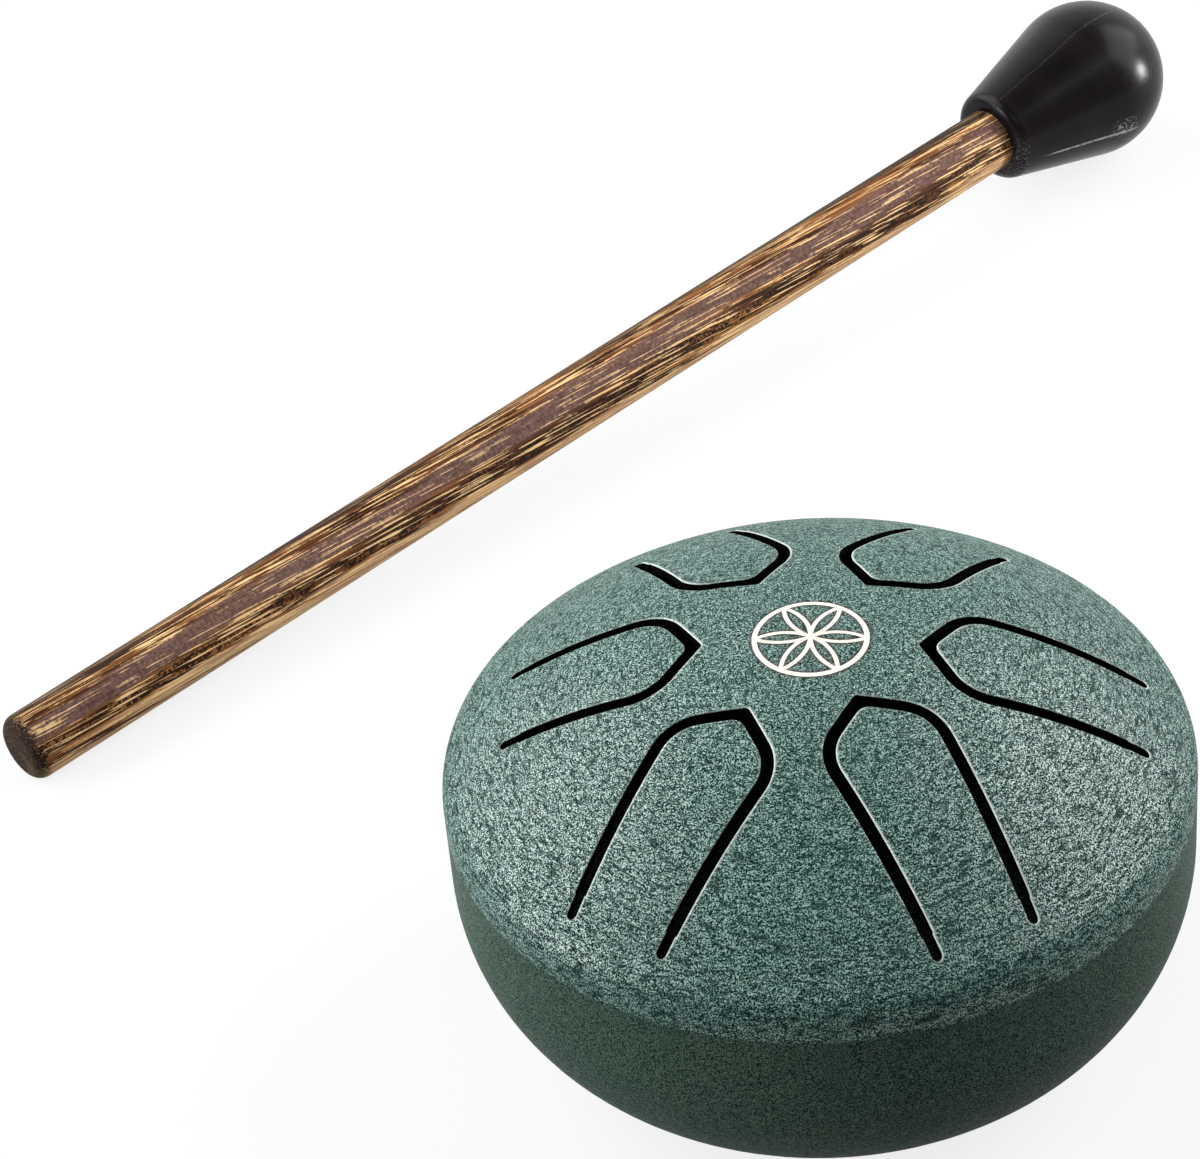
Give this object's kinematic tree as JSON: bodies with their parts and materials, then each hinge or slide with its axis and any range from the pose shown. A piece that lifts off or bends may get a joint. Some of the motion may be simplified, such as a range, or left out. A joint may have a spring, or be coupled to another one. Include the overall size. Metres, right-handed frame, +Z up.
{
  "type": "steel tongue drum",
  "caption": "Pocket steel tongue drum with a grained green coat and an engraved flower on its domed top, with its rubber-headed wooden mallet.",
  "frame": {"origin": "centre of the sound hole in the outer face of the drum's flat bottom", "axes": "+Z up along the drum's axis, out through the crown; -Y towards the player's side that the picture shows; the drum stands on its feet with the ground at z = -2.5 mm"},
  "size_m": [0.153, 0.2235, 0.0513],
  "materials": {
    "green_coat": "grained powder coat with fine metal flecks over steel",
    "black_rubber": "semi-gloss moulded rubber",
    "palm_wood": "smooth, thin clear coat"
  },
  "bodies": {
    "drum": {"top_shell": "green_coat", "bottom_shell": "green_coat", "foot_back": "black_rubber", "foot_front_left": "black_rubber", "foot_front_right": "black_rubber"},
    "mallet": {"mallet_stick": "palm_wood", "mallet_head": "black_rubber"}
  },
  "joints": [
    {"name": "mallet_lift", "type": "slide", "parent": "drum", "child": "mallet", "axis": [0, 0, 1], "range_m": [0, 0.1]}
  ]
}
